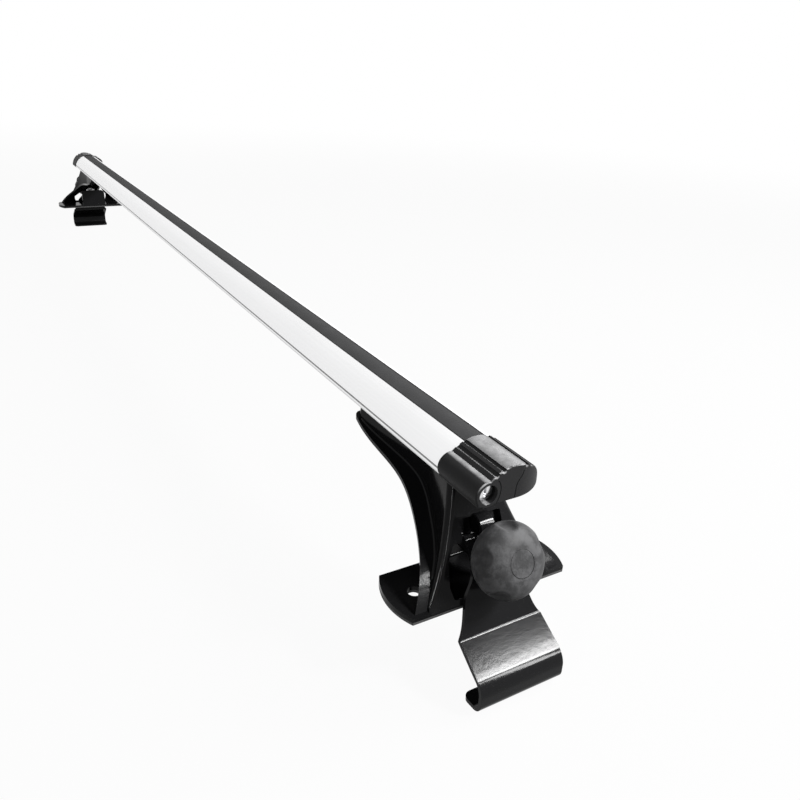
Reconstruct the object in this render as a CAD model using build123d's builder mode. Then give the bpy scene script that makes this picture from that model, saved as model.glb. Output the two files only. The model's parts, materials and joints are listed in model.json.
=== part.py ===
"""Roof rack crossbar: a D shaped aluminium bar carried by two feet with clamp hooks.

Units are millimetres. X runs along the bar, Y across it and Z up. The origin lies midway
between the feet, on the plane where their rubber pads meet the roof. Every piece of a foot
and of a bar end is modelled at the +X end, and the far one is the same piece given half a
turn about Z.
"""
import os
from math import cos, radians, sin, sqrt, tan

from build123d import *

os.makedirs("parts", exist_ok=True)

# Bar
bar_length = 1200.0
bar_base_z = 70.0
bar_radius = 22.6
arch_drop = 3.5
bar_wall = 1.5
bar_floor = 1.8
bar_corner = 0.8
side_groove_z = 72.9
side_groove_radius = 0.5
chamber_inner = 10.2
keeper_play = 1.0

# Upper slot and its rubber strip
strip_half_width = 7.4
strip_seat_z = 86.3
strip_crown_z = 88.5
strip_edge_z = 87.6
strip_neck_half = 5.0
strip_barb_half = 6.6
strip_barb_depth = 4.0
strip_clearance = 0.15
upper_slot_half = 8.6
upper_slot_floor_z = 78.6
upper_slot_lip = 2.0

# Lower slot and the bolts that run in it
lower_neck_half = 3.3
lower_slot_half = 5.25
lower_slot_lip = 2.2
lower_slot_height = 4.7
slot_bolt_radius = 3.0
slot_bolt_flats = 10.0
slot_bolt_head = 4.0
slot_bolt_length = 14.5
slot_bolt_places = (-99.0, -27.0)
slot_bolt_clearance = 0.3
slot_washer_radius = 6.2
slot_washer_thickness = 1.2
slot_nut_height = 5.0
slot_nut_flats = 10.0
slot_head_gap = 0.1
bolt_end_chamfer = 0.6

# End cap and its lock
cap_length = 36.6
cap_step = 0.7
cap_base_z = 69.2
cap_plateau_z = 89.9
cap_wall = 2.3
cap_gap = 0.2
cap_edge = 1.6
cap_end_round = 1.0
cap_end_wall = 5.3
cap_roof_rib = 1.2
cap_round_y = 3.0
cap_round_setback = 9.0
# Grooves along the cap: distance from the middle, centre above the arch, radius
cap_grooves = ((7.7, 0.0, 1.3), (12.3, 0.6, 1.6))
plug_length = 26.0
plug_clearance = 0.35
lock_inset = 6.2
lock_lift = 6.0
lock_hole_radius = 5.7
lock_barrel_radius = 5.35
lock_recess = 3.4
lock_barrel_length = 24.0
lock_boss_wall = 2.2
lock_edge = 0.6
key_slot_length = 6.6
key_slot_width = 1.6
key_slot_depth = 2.0
lock_tail_radius = 1.2
lock_tail_length = 14.5
lock_tail_socket = 4.0
press_clearance = 0.05
cam_thickness = 2.4
cam_side_gap = 1.2
cam_width = 3.0
# Joint lines of the end face: round the lock from its middle, and down the face across the bar
seam_width = 0.5
lock_seam = ((5.3, 7.4), (7.4, 3.5), (7.3, -1.5), (5.4, -6.6))
face_seam = ((5.4, 85.6), (4.6, 83.0), (2.0, 79.0), (1.2, 74.0), (0.6, 69.2))

# Foot: places along X are measured from the line of the base holes
foot_overhang = 9.7
sheet = 2.5
pad_thickness = 1.7
crown_gap = 0.2
lean = 24.9
front_foot_u = 20.1
front_bend = 14.0
rim_radius = 4.0
tip_u = -120.4
tip_radius = 6.0
base_inner_u = -21.2
base_half = 51.0
base_bulge = 57.2
base_bulge_u = 1.3
base_outer_half = 52.6
base_hole_y = 40.0
base_hole_radius = 4.2
# Inner edge of the base plate, turned up between the flanges
upstand_half = 19.0
upstand_top_z = 29.6
upstand_corner = 6.0
upstand_bend = 1.5
# Trough outline: place, half width at roof level, half width at the reference height
trough_reference_z = 74.0
trough_stations = (
    (tip_u, 27.6, 14.6),
    (-100.0, 22.0, 12.7),
    (-65.0, 12.7, 10.2),
    (-38.0, 12.3, 9.8),
    (-24.0, 19.8, 11.3),
    (-2.0, 30.0, 14.3),
    (14.0, 43.5, 14.0),
    (30.0, 64.0, 14.0),
)
# Upper surface of the flange seen from the side, from the tip down to the base
flange_line = ((-84.7, 51.9), (-41.4, 43.7), (-12.0, 29.2), (9.4, 14.4))
flange_tip_z = 59.6
flange_steps = 8
flange_tip_radius = 5.0
# Outer edge of the flange seen from above
flange_edge = ((tip_u, 18.0), (-85.0, 20.2), (-54.0, 21.0), (-26.0, 27.0), (1.0, 38.0))

# Openings of the front face, measured along the face from the clamp bolt's axis
clamp_z = 23.3
window_half = 14.0
window_low = 11.5
window_high = 24.0
window_corner = 1.5
bridge_half = 4.5
bridge_bulge = 6.3
bridge_root = 1.3
bridge_skew = 1.5
# Lower opening of one side: distance from the middle, height along the face
lower_window = (
    (9.5, -19.0),
    (25.4, -19.0),
    (27.1, -11.3),
    (25.3, 3.0),
    (20.3, 12.0),
    (16.8, 11.0),
    (9.5, 1.0),
)
lower_window_corner = 1.8
neck_square = 8.0
neck_clearance = 0.1

# Clamp hook
hook_sheet = 2.5
hook_gap = 0.3
hook_fold_s = -41.1
hook_fold_radius = 3.5
hook_shelf_angle = 32.0
hook_shelf_length = 28.0
hook_shelf_radius = 12.0
hook_drop = 13.5
hook_curl_radius = 7.0
hook_lip_length = 14.5
hook_lip_angle = 5.0
hook_lip_corner = 5.0
hook_half = 28.6
prong_inner = 5.6
prong_rise = 0.5
prong_gap = 1.2
prong_rear_length = 15.0
prong_bend = 1.0
prong_seam = 0.2
# Half width of the hook's plate along the face, from its shoulders to the fold
hook_outline = ((13.4, 9.0), (11.9, 0.0), (14.2, -10.8), (19.6, -18.5), (21.5, -24.0), (28.2, -41.1))
hook_slot_width = 9.0
hook_slot_travel = 3.6

# Clamp bolt, washer and knob, placed along the bolt's axis from the front face
clamp_bolt_radius = 4.0
clamp_bolt_reach = 24.0
clamp_head_radius = 8.6
clamp_head_height = 3.6
clamp_head_edge = 0.8
clamp_stack_gap = 0.1
washer_radius = 9.0
washer_thickness = 1.6
washer_clearance = 0.3
nut_flats = 13.0
nut_height = 6.5
nut_recess = 0.6
nut_clearance = 0.05
knob_radius = 21.8
knob_base_radius = 11.5
knob_rim_height = 16.0
knob_height = 28.4
# Points of the knob's outline, as shares of its height and radius
knob_belly = (0.3, 0.86)
knob_shoulder = (0.82, 0.79)
knob_crown_radius = 8.8
knob_disc_radius = 7.8
knob_disc_thickness = 2.0
knob_disc_clearance = 0.12
knob_disc_edge = 0.3
knob_bore_radius = 4.5
knob_bore_depth = 21.5
knob_dents = 5
knob_dent_radius = 8.5
knob_dent_circle = 24.8
knob_dent_height = 20.5
knob_dent_turn = 16.0

# Worked out from the sizes above
bar_end = bar_length / 2
arch_z = bar_base_z - arch_drop
foot_x = bar_end + foot_overhang
base_top_z = pad_thickness + sheet
crown_z = bar_base_z - crown_gap
cap_end = bar_end + cap_length
cap_radius = bar_radius + cap_step
lock_y = lock_inset - bar_radius
lock_z = bar_base_z + lock_lift
cam_reach = -lock_y - chamber_inner - cam_side_gap
slot_lip_z = bar_base_z + lower_slot_lip
upper_lip_z = strip_seat_z - upper_slot_lip
cap_cavity_depth = cap_length - cap_round_setback - cap_end_wall


def arch_height(y, radius):
    """Height of an arch of this radius about the bar's own centre, at distance y from the middle."""
    return arch_z + sqrt(radius**2 - y**2)


def arch_half(z, radius):
    """Half width of that arch at height z."""
    return sqrt(radius**2 - (z - arch_z) ** 2)


def front_at(z, inset=0.0):
    """Place of the leaning front face, or of a face parallel to it further in, at height z."""
    return foot_x + front_foot_u - (z - base_top_z) * tan(radians(lean)) - inset / cos(radians(lean))


bar_plane = Plane.YZ.offset(-bar_end)
clamp_origin = Vector(front_at(clamp_z), 0, clamp_z)
outward = Vector(cos(radians(lean)), 0, sin(radians(lean)))
# face_plane: across the bar, then up the front face. clamp_plane: outward, then up the face
face_plane = Plane(origin=clamp_origin, x_dir=(0, 1, 0), z_dir=outward)
clamp_plane = Plane(origin=clamp_origin, x_dir=outward, z_dir=(0, -1, 0))
clamp_axis = Axis(clamp_origin, outward)


def save(part, name):
    """Label one piece and write it to its own file."""
    part.label = name
    export_step(part, f"parts/{name}.step")


def save_pair(part, name):
    """Write the piece of the +X end, then the same piece turned round for the far end."""
    save(part, f"{name}_right")
    with BuildPart() as far_copy:
        add(part, rotation=(0, 0, 180))
    save(far_copy.part, f"{name}_left")


# Bar extrusion: arched outside, two side chambers, a slot on top and one below
with BuildSketch(bar_plane) as chambers:
    with Locations((0, arch_z)):
        Circle(bar_radius - bar_wall)
        Rectangle(2 * chamber_inner, 4 * bar_radius, mode=Mode.SUBTRACT)
    with Locations((0, bar_base_z + bar_floor)):
        Rectangle(4 * bar_radius, 2 * bar_radius, align=(Align.CENTER, Align.MAX), mode=Mode.SUBTRACT)

with BuildPart() as bar_extrusion:
    with BuildSketch(bar_plane) as section:
        with Locations((0, arch_z)):
            Circle(bar_radius)
        with Locations((0, bar_base_z)):
            Rectangle(4 * bar_radius, 2 * bar_radius, align=(Align.CENTER, Align.MAX), mode=Mode.SUBTRACT)
        fillet(section.vertices(), bar_corner)
        add(chambers.sketch_local, mode=Mode.SUBTRACT)
        with Locations((0, strip_seat_z)):
            Rectangle(
                2 * (strip_half_width + strip_clearance),
                bar_radius,
                align=(Align.CENTER, Align.MIN),
                mode=Mode.SUBTRACT,
            )
        with Locations((0, upper_slot_floor_z)):
            Rectangle(
                2 * (strip_neck_half + strip_clearance),
                bar_radius,
                align=(Align.CENTER, Align.MIN),
                mode=Mode.SUBTRACT,
            )
            Rectangle(
                2 * upper_slot_half,
                upper_lip_z - upper_slot_floor_z,
                align=(Align.CENTER, Align.MIN),
                mode=Mode.SUBTRACT,
            )
        with Locations((0, slot_lip_z)):
            Rectangle(2 * lower_neck_half, 3 * lower_slot_lip, mode=Mode.SUBTRACT)
            Rectangle(
                2 * lower_slot_half, lower_slot_height, align=(Align.CENTER, Align.MIN), mode=Mode.SUBTRACT
            )
        with Locations([(side * arch_half(side_groove_z, bar_radius), side_groove_z) for side in (-1, 1)]):
            Circle(side_groove_radius, mode=Mode.SUBTRACT)
    extrude(amount=bar_length)
    # Keeper slots in the floor, where the lock's cam drops in when the key is turned
    for end in (-1, 1):
        keeper_x = end * (bar_end - lock_tail_length + cam_thickness / 2 + cap_gap)
        with Locations((keeper_x, end * (lock_y + keeper_play), bar_base_z)):
            Box(cam_thickness + keeper_play, 2 * cam_reach - cam_width, 3 * bar_floor, mode=Mode.SUBTRACT)
save(bar_extrusion.part, "bar_extrusion")

# Rubber strip: a flat crowned cap on a neck with a barb that holds it in the upper slot
with BuildPart() as top_strip:
    with BuildSketch(Plane.YZ.offset(-bar_end + cap_gap)):
        with BuildLine():
            crown = ThreePointArc(
                (-strip_half_width, strip_edge_z), (0, strip_crown_z), (strip_half_width, strip_edge_z)
            )
            barb_top = upper_lip_z - strip_clearance
            right_side = Polyline(
                crown @ 1,
                (strip_half_width, strip_seat_z + strip_clearance),
                (strip_neck_half, strip_seat_z + strip_clearance),
                (strip_neck_half, barb_top),
                (strip_barb_half, barb_top),
                (strip_neck_half - 1, barb_top - strip_barb_depth),
                (0, barb_top - strip_barb_depth),
            )
            mirror(right_side, about=Plane.YZ)
        make_face()
    extrude(amount=bar_length - 2 * cap_gap)
save(top_strip.part, "top_strip")

# End cap: a ridged shell that carries the bar's arch on, a plug for one chamber and a lock boss
cap_start = Plane.YZ.offset(bar_end + cap_gap)
with BuildPart() as end_cap:
    with BuildSketch(cap_start) as cap_outline:
        with Locations((0, arch_z)):
            Circle(cap_radius)
        with Locations((0, cap_base_z)):
            Rectangle(4 * cap_radius, 2 * cap_radius, align=(Align.CENTER, Align.MAX), mode=Mode.SUBTRACT)
        fillet(cap_outline.vertices(), cap_edge)
        with Locations((0, cap_plateau_z)):
            Rectangle(4 * cap_radius, cap_radius, align=(Align.CENTER, Align.MIN), mode=Mode.SUBTRACT)
        for side in (-1, 1):
            for groove_y, groove_lift, groove_radius in cap_grooves:
                with Locations((side * groove_y, arch_height(groove_y, cap_radius) + groove_lift)):
                    Circle(groove_radius, mode=Mode.SUBTRACT)
        with Locations((lock_y, lock_z)):
            Circle(lock_hole_radius + lock_boss_wall)
    extrude(amount=cap_length - cap_gap)
    # The end face curves back beyond the middle
    with BuildSketch(Plane.XY):
        with BuildLine():
            round_off = TangentArc(
                (cap_end, cap_round_y), (cap_end - cap_round_setback, cap_radius), tangent=(0, 1)
            )
            Polyline(
                round_off @ 1,
                (cap_end - cap_round_setback, 2 * cap_radius),
                (cap_end + cap_round_setback, 2 * cap_radius),
                (cap_end + cap_round_setback, cap_round_y),
                round_off @ 0,
            )
        make_face()
    extrude(amount=2 * cap_plateau_z, mode=Mode.SUBTRACT)
    end_edges = end_cap.edges().filter_by(lambda e: e.center().X > cap_end - cap_round_setback)
    fillet(end_edges.filter_by(Axis.X, reverse=True).filter_by(Axis.Z, reverse=True), cap_end_round)
    # Hollow inside, open towards the bar
    with BuildSketch(cap_start):
        with Locations((0, arch_z)):
            Circle(cap_radius - cap_wall)
        with Locations((0, cap_base_z + cap_wall)):
            Rectangle(4 * cap_radius, 2 * cap_radius, align=(Align.CENTER, Align.MAX), mode=Mode.SUBTRACT)
        with Locations((0, cap_plateau_z - cap_wall - cap_roof_rib)):
            Rectangle(4 * cap_radius, cap_radius, align=(Align.CENTER, Align.MIN), mode=Mode.SUBTRACT)
        with Locations((lock_y, lock_z)):
            Circle(lock_hole_radius + lock_boss_wall, mode=Mode.SUBTRACT)
    extrude(amount=cap_cavity_depth, mode=Mode.SUBTRACT)
    # Plug in the chamber away from the lock, carried back to the end wall
    with BuildSketch(Plane.YZ.offset(bar_end - plug_length)):
        with Locations((0, arch_z)):
            Circle(bar_radius - bar_wall - plug_clearance)
        with Locations((0, bar_base_z + bar_floor + plug_clearance)):
            Rectangle(4 * bar_radius, 2 * bar_radius, align=(Align.CENTER, Align.MAX), mode=Mode.SUBTRACT)
        with Locations((chamber_inner + plug_clearance, arch_z)):
            Rectangle(4 * bar_radius, 4 * bar_radius, align=(Align.MAX, Align.CENTER), mode=Mode.SUBTRACT)
    extrude(amount=plug_length + cap_gap + cap_cavity_depth + cap_end_wall / 2)
    # Bore for the lock barrel, clipped to the cap's own outline
    with BuildSketch(cap_start.offset(-1)):
        with Locations((lock_y, lock_z)):
            Circle(lock_hole_radius)
    extrude(amount=cap_length + 2, mode=Mode.SUBTRACT)
    # Fine joint lines on the end face
    for start, line in (((lock_y, lock_z), lock_seam), ((0, 0), face_seam)):
        with BuildSketch(Plane.YZ.offset(cap_end)):
            with BuildLine():
                Spline(*[(start[0] + y, start[1] + z) for y, z in line])
            trace(line_width=seam_width)
        extrude(amount=-seam_width, mode=Mode.SUBTRACT)
save_pair(end_cap.part, "end_cap")

# Key barrel with its slot, and the cam on its tail
barrel_face = cap_end - lock_recess
barrel_back = barrel_face - lock_barrel_length
with BuildPart() as lock_barrel:
    with BuildSketch(Plane.YZ.offset(barrel_back)):
        with Locations((lock_y, lock_z)):
            Circle(lock_barrel_radius)
    extrude(amount=lock_barrel_length)
    chamfer(lock_barrel.faces().sort_by(Axis.X)[-1].edges(), lock_edge)
    with BuildSketch(Plane.YZ.offset(barrel_face - key_slot_depth)):
        with Locations((lock_y, lock_z)):
            SlotOverall(key_slot_length, key_slot_width, rotation=90)
    extrude(amount=2 * key_slot_depth, mode=Mode.SUBTRACT)
    with BuildSketch(Plane.YZ.offset(barrel_back)):
        with Locations((lock_y, lock_z)):
            Circle(lock_tail_radius + press_clearance)
    extrude(amount=lock_tail_socket, mode=Mode.SUBTRACT)
save_pair(lock_barrel.part, "lock_barrel")

with BuildPart() as lock_cam:
    cam_start = bar_end + cap_gap - lock_tail_length
    with BuildSketch(Plane.YZ.offset(cam_start)):
        with Locations((lock_y, lock_z)):
            Circle(lock_tail_radius)
    extrude(amount=barrel_back + lock_tail_socket - cam_start)
    with BuildSketch(Plane.YZ.offset(cam_start)):
        with Locations((lock_y, lock_z)):
            Circle(cam_reach)
        with Locations((lock_y, lock_z)):
            Rectangle(4 * cam_reach, cam_width, align=(Align.MIN, Align.CENTER), mode=Mode.INTERSECT)
    extrude(amount=cam_thickness)
save_pair(lock_cam.part, "lock_cam")


def trough(inset, lowered):
    """Solid trough under the bar, or the smaller one that hollows it.

    Two outlines, at roof level and at the reference height, are joined by straight lines.
    The result is trimmed to the side view: crown, bend, leaning front face and flange line.
    """
    with BuildPart() as body:
        for height, column in ((0.0, 1), (trough_reference_z, 2)):
            with BuildSketch(Plane.XY.offset(height)) as outline:
                with BuildLine():
                    places = [foot_x + station[0] for station in trough_stations]
                    places[0] += inset
                    halves = [station[column] - inset for station in trough_stations]
                    side = Spline(*zip(places, halves))
                    mirror(side, about=Plane.XZ)
                    Line(side @ 0, (places[0], -halves[0]))
                    Line(side @ 1, (places[-1], -halves[-1]))
                make_face()
                fillet(outline.vertices().group_by(Axis.X)[0], tip_radius - inset)
        loft(ruled=True)
        with BuildSketch(Plane.XZ) as profile:
            with BuildLine():
                tip = (foot_x + tip_u - sheet, flange_tip_z - lowered)
                low_z = base_top_z - lowered
                foot = Spline(
                    tip,
                    *[(foot_x + u, z - lowered) for u, z in flange_line],
                    (front_at(low_z, inset), low_z),
                )
                top = crown_z - inset
                Polyline(foot @ 0, (tip[0], top), (front_at(top, inset), top), foot @ 1)
            make_face()
            front_corner = profile.vertices().group_by(Axis.Y)[-1].sort_by(Axis.X)[-1]
            fillet(front_corner, front_bend - inset)
        extrude(amount=2 * base_bulge, both=True, mode=Mode.INTERSECT)
        crown_face = body.faces().filter_by(Axis.Z).sort_by(Axis.Z)[-1]
        bend_face = body.faces().filter_by(GeomType.CYLINDER).sort_by(Axis.X)[-1]
        front_face = body.faces().filter_by(GeomType.PLANE).sort_by(Axis.X)[-1]
        rim = crown_face.edges().sort_by(Axis.X)[:-1]
        rim += bend_face.edges().filter_by(Axis.Y, reverse=True)
        rim += front_face.edges().filter_by(Axis.Y, reverse=True)
        fillet(rim, rim_radius - inset)
    return body.part


def base_outline(height):
    """Outline of the base plate and of its pad, with bulged ends, as a sketch at this height."""
    with BuildSketch(Plane.XY.offset(height)) as outline:
        with BuildLine():
            base_end = ThreePointArc(
                (foot_x + base_inner_u, base_half),
                (foot_x + base_bulge_u, base_bulge),
                (foot_x + front_foot_u, base_outer_half),
            )
            mirror(base_end, about=Plane.XZ)
            Line(base_end @ 0, ((base_end @ 0).X, -(base_end @ 0).Y))
            Line(base_end @ 1, ((base_end @ 1).X, -(base_end @ 1).Y))
        make_face()
    return outline


# Flange strips on both sides of the trough, trimmed to their outer edge seen from above
with BuildPart() as foot_flange:
    with BuildSketch(Plane.XZ):
        with BuildLine():
            flange_top = Spline(
                (foot_x + tip_u, flange_tip_z),
                *[(foot_x + u, z) for u, z in flange_line],
                (foot_x + front_foot_u - sheet, base_top_z),
            )
            below = []
            for step in range(flange_steps + 1):
                along = flange_top % (step / flange_steps)
                below.append(flange_top @ (step / flange_steps) + Vector(along.Y, -along.X) * sheet)
            flange_underside = Spline(*below)
            Line(flange_top @ 0, flange_underside @ 0)
            Line(flange_top @ 1, flange_underside @ 1)
        make_face()
    extrude(amount=2 * base_bulge, both=True)
    with BuildSketch(Plane.XY) as flange_plan:
        with BuildLine():
            edge = Spline(
                *[(foot_x + u, half) for u, half in flange_edge],
                (foot_x + front_foot_u, base_outer_half),
            )
            mirror(edge, about=Plane.XZ)
            Line(edge @ 0, ((edge @ 0).X, -(edge @ 0).Y))
            Line(edge @ 1, ((edge @ 1).X, -(edge @ 1).Y))
        make_face()
        fillet(flange_plan.vertices().group_by(Axis.X)[0], flange_tip_radius)
    extrude(amount=bar_base_z, mode=Mode.INTERSECT)

# Inner edge of the base plate, turned up behind the openings
with BuildPart() as base_upstand:
    with BuildSketch(Plane.XZ) as upstand_profile:
        with BuildLine():
            inner_x, outer_x = foot_x + base_inner_u, foot_x + base_inner_u + sheet
            Polyline(
                (inner_x, pad_thickness),
                (inner_x, upstand_top_z),
                (outer_x, upstand_top_z),
                (outer_x, base_top_z),
                (outer_x + 2 * sheet, base_top_z),
                (outer_x + 2 * sheet, pad_thickness),
                close=True,
            )
        make_face()
        bend_corner = upstand_profile.vertices().filter_by_position(Axis.X, outer_x - 0.1, outer_x + 0.1)
        fillet(bend_corner.sort_by(Axis.Y)[0], upstand_bend)
    extrude(amount=upstand_half, both=True)
    fillet(base_upstand.edges().filter_by(Axis.X).group_by(Axis.Z)[-1], upstand_corner)

# Foot bracket: one pressed sheet
with BuildPart() as foot_bracket:
    add(trough(0.0, sheet / 2))
    add(foot_flange.part)
    add(trough(sheet, 4 * sheet), mode=Mode.SUBTRACT)
    # Base plate with bulged ends, bent back from the front face
    add(base_outline(pad_thickness).sketch)
    extrude(amount=sheet)
    add(base_upstand.part)
    # Openings of the front face
    with BuildSketch(face_plane.offset(-sheet - 1)):
        with Locations((0, (window_low + window_high) / 2)):
            RectangleRounded(2 * window_half, window_high - window_low, window_corner)
    extrude(amount=sheet + 3, mode=Mode.SUBTRACT)
    for side in (-1, 1):
        with BuildSketch(face_plane.offset(-sheet - 1)) as lower_opening:
            with BuildLine():
                Polyline(*[(side * y, s) for y, s in lower_window], close=True)
            make_face()
            fillet(lower_opening.vertices(), lower_window_corner)
        extrude(amount=sheet + 3, mode=Mode.SUBTRACT)
    # Bridge pressed outward between the two upper windows
    with BuildSketch(clamp_plane):
        with BuildLine():
            bridge_top, bridge_foot = window_high + bridge_root, window_low - bridge_root
            bridge_middle = (bridge_top + bridge_foot) / 2 + bridge_skew
            outer_arc = ThreePointArc((0, bridge_foot), (bridge_bulge, bridge_middle), (0, bridge_top))
            inner_arc = ThreePointArc(
                (-sheet, bridge_foot), (bridge_bulge - sheet, bridge_middle), (-sheet, bridge_top)
            )
            Line(outer_arc @ 0, inner_arc @ 0)
            Line(outer_arc @ 1, inner_arc @ 1)
        make_face()
    extrude(amount=bridge_half, both=True)
    # Square hole for the clamp bolt, round holes for the slot bolts and the base
    with BuildSketch(face_plane.offset(-sheet - 1)):
        Rectangle(neck_square + 2 * neck_clearance, neck_square + 2 * neck_clearance)
    extrude(amount=sheet + 3, mode=Mode.SUBTRACT)
    with Locations([(foot_x + place, 0, crown_z) for place in slot_bolt_places]):
        Hole(slot_bolt_radius + slot_bolt_clearance, depth=2 * sheet)
    with Locations([(foot_x, side * base_hole_y, base_top_z) for side in (-1, 1)]):
        Hole(base_hole_radius, depth=2 * sheet)
save_pair(foot_bracket.part, "foot_bracket")

# Rubber pad under the base plate
with BuildPart() as base_pad:
    add(base_outline(0).sketch)
    extrude(amount=pad_thickness)
    with Locations([(foot_x, side * base_hole_y, pad_thickness) for side in (-1, 1)]):
        Hole(base_hole_radius, depth=2 * pad_thickness)
save_pair(base_pad.part, "base_pad")

# Slot bolts with their heads in the bar's lower slot, then washers and nuts under the crown
slot_bolt_places_x = [foot_x + place for place in slot_bolt_places]
washer_top_z = crown_z - sheet - slot_head_gap
nut_top_z = washer_top_z - slot_washer_thickness
with BuildPart() as slot_bolts:
    with BuildSketch(Plane.XY.offset(slot_lip_z + slot_head_gap)):
        with Locations([(x, 0) for x in slot_bolt_places_x]):
            RegularPolygon(slot_bolt_flats / 2, 6, major_radius=False)
    extrude(amount=slot_bolt_head)
    with BuildSketch(Plane.XY.offset(slot_lip_z + slot_head_gap)):
        with Locations([(x, 0) for x in slot_bolt_places_x]):
            Circle(slot_bolt_radius)
    extrude(amount=-slot_bolt_length)
    chamfer(slot_bolts.edges().filter_by(GeomType.CIRCLE).group_by(Axis.Z)[0], bolt_end_chamfer)
save_pair(slot_bolts.part, "slot_bolts")

with BuildPart() as slot_washers:
    with BuildSketch(Plane.XY.offset(washer_top_z)):
        with Locations([(x, 0) for x in slot_bolt_places_x]):
            Circle(slot_washer_radius)
            Circle(slot_bolt_radius + slot_bolt_clearance, mode=Mode.SUBTRACT)
    extrude(amount=-slot_washer_thickness)
save_pair(slot_washers.part, "slot_washers")

with BuildPart() as slot_nuts:
    with BuildSketch(Plane.XY.offset(nut_top_z)):
        with Locations([(x, 0) for x in slot_bolt_places_x]):
            RegularPolygon(slot_nut_flats / 2, 6, major_radius=False)
            Circle(slot_bolt_radius + nut_clearance, mode=Mode.SUBTRACT)
    extrude(amount=-slot_nut_height)
save_pair(slot_nuts.part, "slot_nuts")

# Clamp hook: a pressed strip whose two prongs pass the upper windows and turn up behind them
with BuildPart() as clamp_hook:
    with BuildSketch(clamp_plane):
        with BuildLine():
            # The strip's inboard surface, from the prongs down to the lip
            prong_s = window_low + prong_rise
            path = [
                Vector(-sheet - prong_gap - hook_sheet, prong_s + prong_rear_length),
                Vector(-sheet - prong_gap - hook_sheet, prong_s),
                Vector(hook_gap, prong_s),
                Vector(hook_gap, hook_fold_s),
            ]
            for run, slope in (
                (hook_shelf_length, hook_shelf_angle),
                (hook_drop, 90.0),
                (hook_lip_length, 180.0 - hook_lip_angle),
            ):
                heading = radians(slope + lean)
                path.append(path[-1] + Vector(cos(heading), -sin(heading)) * run)
            inboard = FilletPolyline(
                *path,
                radius=[
                    prong_bend + hook_sheet,
                    prong_bend,
                    hook_fold_radius + hook_sheet,
                    hook_shelf_radius - hook_sheet,
                    hook_curl_radius - hook_sheet,
                ],
            )
            offset(inboard, amount=hook_sheet, side=Side.LEFT, closed=True)
        make_face()
    extrude(amount=hook_half, both=True)
    with BuildSketch(face_plane):
        with BuildLine():
            low_s = path[-2].Y - hook_lip_length
            shoulder_s = hook_outline[0][1]
            flank = Spline(*hook_outline)
            right_side = Polyline(
                flank @ 1,
                (hook_half, hook_outline[-1][1] - hook_shelf_length / 2),
                (hook_half, low_s),
                (0, low_s),
            )
            prong_top = prong_s + 2 * prong_rear_length
            top_side = Polyline(flank @ 0, (hook_outline[0][0], prong_top), (0, prong_top))
            mirror([flank, right_side, top_side], about=Plane.YZ)
        make_face()
        with Locations((0, shoulder_s + prong_seam)):
            Rectangle(2 * prong_inner, prong_top, align=(Align.CENTER, Align.MIN), mode=Mode.SUBTRACT)
        SlotOverall(hook_slot_width + hook_slot_travel, hook_slot_width, rotation=90, mode=Mode.SUBTRACT)
    extrude(amount=3 * hook_shelf_length, both=True, mode=Mode.INTERSECT)
    cut_edges = clamp_hook.edges().filter_by(lambda e: abs(e.length - hook_sheet) < hook_gap / 4)
    fillet(cut_edges.group_by(Axis.Z)[0], hook_lip_corner)
save_pair(clamp_hook.part, "clamp_hook")

# Carriage bolt held by its square neck in the front face
with BuildPart() as clamp_bolt:
    head_seat = -sheet - clamp_stack_gap
    with BuildSketch(clamp_plane):
        with BuildLine():
            head_sides = Polyline(
                (head_seat - clamp_head_height, 0),
                (head_seat, 0),
                (head_seat, clamp_head_radius),
                (head_seat - clamp_head_edge, clamp_head_radius),
            )
            dome_rise = clamp_head_height - clamp_head_edge
            dome_radius = (clamp_head_radius**2 + dome_rise**2) / (2 * dome_rise)
            dome_lift = dome_radius - sqrt(dome_radius**2 - (clamp_head_radius / 2) ** 2)
            ThreePointArc(
                head_sides @ 1,
                (head_seat - clamp_head_height + dome_lift, clamp_head_radius / 2),
                head_sides @ 0,
            )
        make_face()
    revolve(axis=clamp_axis)
    with BuildSketch(face_plane.offset(head_seat - clamp_head_edge)):
        Rectangle(neck_square, neck_square)
    extrude(amount=sheet + clamp_head_edge)
    with BuildSketch(face_plane.offset(head_seat)):
        Circle(clamp_bolt_radius)
    extrude(amount=clamp_bolt_reach - head_seat)
save_pair(clamp_bolt.part, "clamp_bolt")

# Washer, moulded-in nut, knob and its disc
washer_start = hook_gap + hook_sheet + clamp_stack_gap
knob_start = washer_start + washer_thickness + clamp_stack_gap
knob_top = knob_start + knob_height
with BuildPart() as clamp_washer:
    with BuildSketch(face_plane.offset(washer_start)):
        Circle(washer_radius)
        Circle(clamp_bolt_radius + washer_clearance, mode=Mode.SUBTRACT)
    extrude(amount=washer_thickness)
save_pair(clamp_washer.part, "clamp_washer")

with BuildPart() as knob_nut:
    with BuildSketch(face_plane.offset(knob_start + nut_recess)):
        RegularPolygon(nut_flats / 2, 6, major_radius=False)
        Circle(clamp_bolt_radius + nut_clearance, mode=Mode.SUBTRACT)
    extrude(amount=nut_height)
save_pair(knob_nut.part, "knob_nut")

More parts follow.
